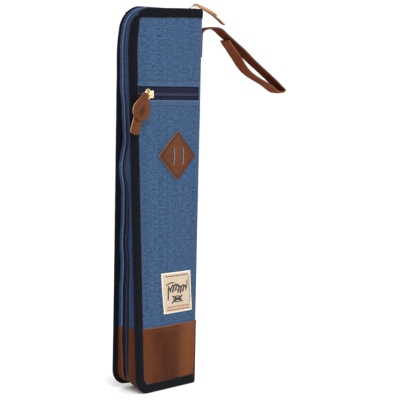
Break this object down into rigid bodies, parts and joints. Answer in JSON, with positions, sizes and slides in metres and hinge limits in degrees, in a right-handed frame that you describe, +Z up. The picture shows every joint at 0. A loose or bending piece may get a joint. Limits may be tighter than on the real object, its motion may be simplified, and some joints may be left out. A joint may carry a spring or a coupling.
{
  "type": "drum stick bag",
  "caption": "Slim book-style soft case for drum sticks, in denim and brown leather, with a zipped front pocket, a zip round three sides and a hand strap.",
  "frame": {"origin": "on the floor under the middle of the case, in the plane of the main zip", "axes": "+X towards the spine and the hand strap, -Y out of the front pocket face, +Z up the length of the case"},
  "size_m": [0.2648, 0.0474, 0.4792],
  "materials": {
    "denim": "blue twill, worn",
    "brown_leather": "nubuck, matte",
    "tan_leather": "smooth, waxed",
    "strap_leather": "smooth, waxed",
    "binding": "ribbed tape",
    "zip_tape": "herringbone tape",
    "zip_coil": "nylon coil",
    "brass": "polished",
    "foam": "open foam",
    "lining": "plain weave",
    "label_cloth": "printed cotton"
  },
  "bodies": {
    "back_half": {"back_binding": "binding", "back_gusset_denim": "denim", "back_gusset_leather": "brown_leather", "main_tape_back": "zip_tape", "main_coil_back": "zip_coil", "back_panel_denim": "denim", "back_panel_leather": "brown_leather", "back_foam": "foam", "back_lining": "lining", "stick_sleeve": "lining", "stick_sleeve_edge": "binding"},
    "spine": {"spine_denim": "denim", "spine_leather": "brown_leather", "spine_foam": "foam", "spine_lining": "lining", "spine_binding": "binding", "strap_tab": "strap_leather"},
    "front_half": {"front_binding": "binding", "front_gusset_denim": "denim", "front_gusset_leather": "brown_leather", "main_tape_front": "zip_tape", "main_coil_front": "zip_coil", "front_panel_denim": "denim", "pocket_panel_denim": "denim", "pocket_panel_leather": "brown_leather", "pocket_rear_wall": "lining", "front_foam": "foam", "front_lining": "lining", "inner_pocket": "lining", "inner_pocket_edge": "binding", "pocket_tape_upper": "zip_tape", "pocket_tape_lower": "zip_tape", "pocket_coil_upper": "zip_coil", "pocket_coil_lower": "zip_coil", "pocket_zip_stops": "brass", "lash_tab": "tan_leather", "front_label": "label_cloth"},
    "main_slider": {"main_slider": "brass"},
    "main_pull": {"main_ring": "brass", "main_pull": "tan_leather"},
    "pocket_slider": {"pocket_slider": "brass"},
    "pocket_pull": {"pocket_ring": "brass", "pocket_pull": "tan_leather"},
    "strap": {"strap_loop": "strap_leather"}
  },
  "joints": [
    {"name": "spine_fold", "type": "hinge", "parent": "back_half", "child": "spine", "pos_m": [0.055, 0.023, 0], "axis": [0, -0.0213, 0.9998], "range_deg": [0, 90]},
    {"name": "cover_fold", "type": "hinge", "parent": "spine", "child": "front_half", "pos_m": [0.055, -0.023, 0], "axis": [0, 0.0213, 0.9998], "range_deg": [0, 90]},
    {"name": "main_slide", "type": "slide", "parent": "back_half", "child": "main_slider", "axis": [-1, 0, 0], "range_m": [0, 0.06]},
    {"name": "main_pull_swing", "type": "hinge", "parent": "main_slider", "child": "main_pull", "pos_m": [0.043, 0, 0.46655], "axis": [0, -1, 0], "range_deg": [0, 80]},
    {"name": "pocket_slide", "type": "slide", "parent": "front_half", "child": "pocket_slider", "axis": [1, 0, 0], "range_m": [0, 0.069]},
    {"name": "pocket_pull_swing", "type": "hinge", "parent": "pocket_slider", "child": "pocket_pull", "pos_m": [-0.0275, -0.0172, 0.36409], "axis": [0, 0.0213, 0.9998], "range_deg": [0, 50]},
    {"name": "strap_swing", "type": "hinge", "parent": "spine", "child": "strap", "pos_m": [0.0576, 0, 0.4438], "axis": [0, -1, 0], "range_deg": [-45, 35]}
  ],
  "couplings": [
    {"joint": "cover_fold", "follows": "spine_fold", "ratio": 1}
  ]
}
